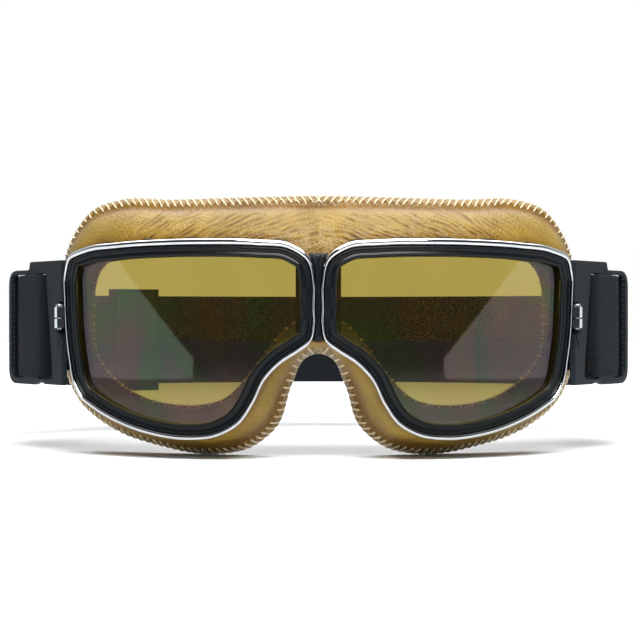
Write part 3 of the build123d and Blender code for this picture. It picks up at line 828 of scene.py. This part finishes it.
# ------------------------ wings
WING_START, WING_ALONG, WING_OUT = (91.5, 34.0), (0.596, 0.803), (0.803, -0.596)
WING_THICKNESS, WING_BEVEL = 2.4, 0.45
CLAMP_LOW, CLAMP_HIGH, CLAMP_REACH = 43.7, 55.3, 5.4
WING_OUTLINE = [(1.4, 24.8, 0.5), (15.4, 24.8, 1.5), (18.2, 26.0, 1.5), (24, 24.4, 2), (44.6, 24.4, 6),
                (44.6, 67.4, 6), (27.8, 67.4, 1.2), (27, 70.4, 1), (1.4, 70.4, 0.5), (1.4, CLAMP_HIGH, 0.5),
                (CLAMP_REACH, CLAMP_HIGH, 2), (CLAMP_REACH, CLAMP_LOW, 2), (1.4, CLAMP_LOW, 0.5)]
FRONT_SLOT = [(14.3, 65.6, 1.0), (20.5, 65.6, 1.0), (20.5, 27, 1.6), (8.6, 27, 2.4)]
REAR_SLOT = [(29.6, 65.7, 3.0), (42, 65.7, 3.0), (42, 27, 4.5), (29.6, 27, 4.5)]
RIB_PLAN = [(94.2, 40.2), (96.7, 42.2), (96.0, 44.5), (92.1, 46.4), (92.1, 43.6)]
RIB_LOW, RIB_HIGH = 30.0, 64.0


def rounded(corners):
    """Points of a polygon whose corners are rounded by their radii."""
    points = []
    neighbours = zip(corners[-1:] + corners[:-1], corners, corners[1:] + corners[:1])
    for before, (x, y, radius), after in neighbours:
        corner = np.array((x, y), float)
        first = np.array(before[:2]) - corner
        second = np.array(after[:2]) - corner
        first /= np.linalg.norm(first)
        second /= np.linalg.norm(second)
        half = np.arccos(np.clip(first @ second, -1, 1)) / 2
        reach = radius / np.tan(half)
        for share in np.linspace(0, 1, 9):
            points.append(corner + reach * ((1 - share)**2 * first + share**2 * second))
    return points


def wing_place(along, out):
    """A point in plan, from its place along the wing and out of it."""
    return (WING_START[0] + WING_ALONG[0] * along + WING_OUT[0] * out,
            FACE_Y + WING_START[1] + WING_ALONG[1] * along + WING_OUT[1] * out)


def plate(name, outlines, thickness, bevel):
    """A flat plate with bevelled edges: the first outline is its edge, the others are holes."""
    curve = bpy.data.curves.new(name, "CURVE")
    curve.dimensions = "2D"
    curve.fill_mode = "BOTH"
    curve.extrude = thickness / 2 - bevel
    curve.bevel_depth = bevel
    curve.bevel_resolution = 3
    curve.offset = -bevel
    for outline in outlines:
        spline = curve.splines.new("POLY")
        spline.points.add(len(outline) - 1)
        for point, (x, y) in zip(spline.points, outline):
            point.co = (x, y, 0, 1)
        spline.use_cyclic_u = True
    holder = bpy.data.objects.new(name, curve)
    bpy.context.scene.collection.objects.link(holder)
    bpy.context.view_layer.update()
    mesh = bpy.data.meshes.new_from_object(holder.evaluated_get(bpy.context.evaluated_depsgraph_get()))
    points = np.array([vertex.co for vertex in mesh.vertices])
    faces = [tuple(face.vertices) for face in mesh.polygons]
    bpy.data.objects.remove(holder)
    bpy.data.curves.remove(curve)
    bpy.data.meshes.remove(mesh)
    return points, faces


wing_outlines = [rounded(outline) for outline in (WING_OUTLINE, FRONT_SLOT, REAR_SLOT)]
flat_points, flat_faces = plate("wing_plate", wing_outlines, WING_THICKNESS, WING_BEVEL)
wing_points = np.array([(*wing_place(t, out), z) for t, z, out in flat_points])
rib_points = np.array([(x, FACE_Y + y, z) for z in (RIB_LOW, RIB_HIGH) for x, y in RIB_PLAN])
rib_faces = [(0, 1, 2, 3, 4), (9, 8, 7, 6, 5)]
rib_faces += [(i, i + 5, (i + 1) % 5 + 5, (i + 1) % 5) for i in range(5)]
all_points, all_faces = gathered([(wing_points, flat_faces), (rib_points, rib_faces)])
for side, piece in pair("wing", all_points, all_faces, WING).items():
    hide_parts(f"wing_{side}")

# ------------------------ elastic strap
STRAP_HEIGHT, STRAP_THICKNESS, LAYER_GAP = 38.0, 1.5, 0.5
STRAP_Z_WING, STRAP_Z_REAR = 46.4, 40.0
SLOPE_START, SLOPE_END = 70.0, 138.0
REAR_RADIUS, REAR_ANGLE = 164.0, 34.0
RIGHT_END, LEFT_END = -38.0, 4.0             # angles of the free ends, behind the head
SIDE_FULLNESS = 0.8                          # how roundly the strap runs from wing to rear arc
WING_PATH = [(44, -5.2), (30, -4.2), (20.5, -3.3), (16.6, -1.4), (17.6, 1.9), (25, 2.4),
             (32.5, 1.9), (39, -1.6), (46, -2.6)]


def rear_place(angle, radius):
    """A point in plan on a circle round the hinge."""
    return (radius * sin(radians(angle)), HINGE_Y + radius * cos(radians(angle)))


def open_curve(points, per_span):
    """A smooth open curve through points."""
    points = np.array(points, float)
    slope = np.gradient(points, axis=0)
    rows = []
    for i in range(len(points) - 1):
        for t in np.linspace(0, 1, per_span, endpoint=False):
            rows.append(between(t, points[i], slope[i], points[i + 1], slope[i + 1]))
    rows.append(points[-1])
    return np.array(rows)


def strap_plan(layer, end_angle):
    """The band's middle line in plan, from its sewn end to its free end."""
    radius = REAR_RADIUS + layer * (STRAP_THICKNESS + LAYER_GAP) + STRAP_THICKNESS / 2
    at_wing = open_curve([wing_place(*point) for point in WING_PATH], 14)
    start, end = at_wing[-1], np.array(rear_place(REAR_ANGLE, radius))
    leave = at_wing[-1] - at_wing[-3]
    leave /= np.linalg.norm(leave)
    arrive = np.array((-cos(radians(REAR_ANGLE)), sin(radians(REAR_ANGLE))))
    reach = np.linalg.norm(end - start)
    t = np.linspace(0, 1, 40)[1:-1, None]
    side = between(t, start, leave * reach * SIDE_FULLNESS, end, arrive * reach * SIDE_FULLNESS)
    turn = np.linspace(REAR_ANGLE, end_angle, 70)
    rear = np.array([rear_place(angle, radius) for angle in turn])
    return np.concatenate([at_wing, side, rear])


EDGE_ROUND = 0.6
half_h, half_t = STRAP_HEIGHT / 2, STRAP_THICKNESS / 2
SECTION = ([(z, half_t) for z in np.linspace(-half_h + EDGE_ROUND, half_h - EDGE_ROUND, 11)]
           + [(half_h - 0.15, half_t * 0.75), (half_h, 0.0), (half_h - 0.15, -half_t * 0.75)]
           + [(z, -half_t) for z in np.linspace(half_h - EDGE_ROUND, -half_h + EDGE_ROUND, 11)]
           + [(-half_h + 0.15, -half_t * 0.75), (-half_h, 0.0), (-half_h + 0.15, half_t * 0.75)])


def band(layer, end_angle):
    """A strap half on the right-hand side: points, faces, weave coordinates and length."""
    plan = strap_plan(layer, end_angle)
    step = np.gradient(plan, axis=0)
    step /= np.linalg.norm(step, axis=1)[:, None]
    normal = np.stack([step[:, 1], -step[:, 0]], axis=1)
    run = np.concatenate([[0], np.cumsum(np.linalg.norm(np.diff(plan, axis=0), axis=1))])
    level = STRAP_Z_WING + (STRAP_Z_REAR - STRAP_Z_WING) * ease(plan[:, 1] - FACE_Y, SLOPE_START, SLOPE_END)
    points, along, across = [], [], []
    for place, out, z, length in zip(plan, normal, level, run):
        for up, thick in SECTION:
            points.append((place[0] + out[0] * thick, place[1] + out[1] * thick, z + up))
            along.append(length)
            across.append(up)
    faces = capped(len(plan), len(SECTION))
    return np.array(points), faces, {"along": along, "across": across}, run[-1]


for side, layer, end in (("right", 1, RIGHT_END), ("left", 0, LEFT_END)):
    points, faces, weave, length = band(layer, end)
    if side == "left":
        points, faces = mirrored(points), [face[::-1] for face in faces]
    strap = mesh_object(f"strap_{side}_piece", points, faces, KNIT, extras=weave)
    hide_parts(f"strap_{side}")
    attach(strap, f"{side}_half")


SEAM_ALONG, SEAM_OUT, SEAM_GAP = 39.5, 1.4, 2.4      # first row's place on the wing; next row
SEAM_STITCHES, SEAM_PITCH, SEAM_INSET = 18, 2.0, 2.0
SEAM_RADIUS = 0.22


def sewn_seam():
    """Two upright rows of stitches that join the strap's turned end to the strap."""
    parts = []
    for offset in (0.0, SEAM_GAP):
        place = wing_place(SEAM_ALONG + offset, SEAM_OUT)
        for k in range(SEAM_STITCHES):
            z = STRAP_Z_WING - half_h + SEAM_INSET + k * SEAM_PITCH
            parts.append(tube([(*place, z + up) for up in (0, 0.45, 0.9, 1.3)], SEAM_RADIUS))
    return gathered(parts)


for side, piece in pair("strap_seam", *sewn_seam(), DARK_THREAD).items():
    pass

# ------------------------ camera, light and stage
CAMERA_DISTANCE = 575.0
CAMERA_X, CAMERA_Z = 0.58, 48.6
FLOOR_HALF = 3000.0
camera = bpy.data.objects.new("camera", bpy.data.cameras.new("camera"))
bpy.context.scene.collection.objects.link(camera)
camera.location = (CAMERA_X * MM, (FACE_Y - CAMERA_DISTANCE) * MM, CAMERA_Z * MM)
camera.rotation_euler = (radians(90), 0, 0)
camera.data.lens = 94.3
camera.data.sensor_width = 36.0
camera.data.clip_start = 0.01
bpy.context.scene.camera = camera
bpy.context.scene.view_settings.view_transform = "Standard"

# the floor glows with distance for the camera alone, and is darker in reflections
stage_material, stage_shader, add, link = new_material("pale_floor")
cloud = add("ShaderNodeTexNoise", Scale=2.0, Detail=2.0)
link(position(add, link), cloud.inputs["Vector"])
pale = ramp(add, [(0.3, (0.86, 0.865, 0.88)), (0.7, (0.9, 0.905, 0.915))])
link(cloud.outputs["Fac"], pale.inputs["Fac"])
sight = add("ShaderNodeLightPath")
bounce = add("ShaderNodeMix", data_type="RGBA")
bounce.inputs["B"].default_value = (0.6, 0.61, 0.63, 1)
link(sight.outputs["Is Glossy Ray"], bounce.inputs["Factor"])
link(pale.outputs["Color"], bounce.inputs["A"])
link(bounce.outputs["Result"], stage_shader.inputs["Base Color"])
stage_shader.inputs["Roughness"].default_value = 0.6
stage_shader.inputs["Specular IOR Level"].default_value = 0.0
around = add("ShaderNodeVectorMath", operation="LENGTH")
link(position(add, link), around.inputs[0])
far = add("ShaderNodeMapRange", From_Min=0.2, From_Max=0.9, To_Max=0.9)
link(around.outputs["Value"], far.inputs["Value"])
glow = add("ShaderNodeMath", operation="MULTIPLY")
link(far.outputs["Result"], glow.inputs[0])
link(sight.outputs["Is Camera Ray"], glow.inputs[1])
link(glow.outputs["Value"], stage_shader.inputs["Emission Strength"])
stage_shader.inputs["Emission Color"].default_value = (1, 1, 1, 1)
floor_corners = [(x * FLOOR_HALF, y * FLOOR_HALF, 0) for x, y in ((-1, -1), (1, -1), (1, 1), (-1, 1))]
floor = mesh_object("floor", floor_corners, [(0, 1, 2, 3)], stage_material, smooth=False)

# The world is plain white where it is seen directly or through the lens.  Other rays find grey
# behind and above the object, and a dim room on the viewer's side.
world = bpy.data.worlds.new("studio")
bpy.context.scene.world = world
world.use_nodes = True
add, link = node_tools(world.node_tree)
direction = add("ShaderNodeTexCoord")
split = add("ShaderNodeSeparateXYZ")
link(direction.outputs["Generated"], split.inputs["Vector"])
behind = add("ShaderNodeMapRange", From_Min=-0.25, From_Max=0.35)
link(split.outputs["Y"], behind.inputs["Value"])
above = add("ShaderNodeMapRange", From_Min=0.8, From_Max=1.0)
link(split.outputs["Z"], above.inputs["Value"])
lit = add("ShaderNodeMath", operation="MAXIMUM")
link(behind.outputs["Result"], lit.inputs[0])
link(above.outputs["Result"], lit.inputs[1])
room = add("ShaderNodeMix", data_type="RGBA")
room.inputs["A"].default_value = (0.03, 0.032, 0.036, 1)
room.inputs["B"].default_value = (0.5, 0.51, 0.53, 1)
link(lit.outputs["Value"], room.inputs["Factor"])
seen = add("ShaderNodeLightPath")
plain = add("ShaderNodeMath", operation="MAXIMUM")
link(seen.outputs["Is Camera Ray"], plain.inputs[0])
link(seen.outputs["Is Transmission Ray"], plain.inputs[1])
view = add("ShaderNodeMix", data_type="RGBA")
view.inputs["B"].default_value = (1.0, 1.0, 1.0, 1)
link(plain.outputs["Value"], view.inputs["Factor"])
link(room.outputs["Result"], view.inputs["A"])
background = world.node_tree.nodes["Background"]
background.inputs["Strength"].default_value = 1.0
link(view.outputs["Result"], background.inputs["Color"])


def area_light(name, size_x, size_y, power):
    """A rectangular light."""
    lamp = bpy.data.lights.new(name, "AREA")
    lamp.shape, lamp.size, lamp.size_y, lamp.energy = "RECTANGLE", size_x, size_y, power
    obj = bpy.data.objects.new(name, lamp)
    bpy.context.scene.collection.objects.link(obj)
    return obj


def softbox(name, place, aim, size_x, size_y, power):
    """A soft light at a place, in metres, pointing at a target."""
    obj = area_light(name, size_x, size_y, power)
    obj.location = place
    obj.rotation_euler = (Vector(aim) - Vector(place)).to_track_quat("-Z", "Y").to_euler()


def card(name, corner, along, down, size_x, size_y, power):
    """A soft cool panel, in metres, that hangs down from an edge which starts at a corner."""
    along, down = Vector(along).normalized(), Vector(down).normalized()
    obj = area_light(name, size_x, size_y, power)
    obj.data.color = (0.86, 1.0, 1.0)
    middle = Vector(corner) + along * size_x / 2 + down * size_y / 2
    face = along.cross(down).normalized()
    if face.dot(Vector((0, 0, 0.05)) - middle) > 0:
        face, along = -face, -along
    axes = Matrix((along, face.cross(along), face)).transposed()
    obj.matrix_world = Matrix.Translation(middle) @ axes.to_4x4()


softbox("key_top", (0.05, -0.42, 0.62), (0, -0.06, 0.05), 0.55, 0.3, 7.5)
softbox("rear_top", (0, 0.45, 0.8), (0, 0, 0.05), 1.0, 0.5, 6)
for name, side in (("panel_left", -1), ("panel_right", 1)):
    low, high = Vector((side * 0.58, -0.69, 0.02)), Vector((side * 0.85, -0.33, 0.115))
    card(name, low, high - low, (0, 0, -1), 0.9, 0.35, 1.0)
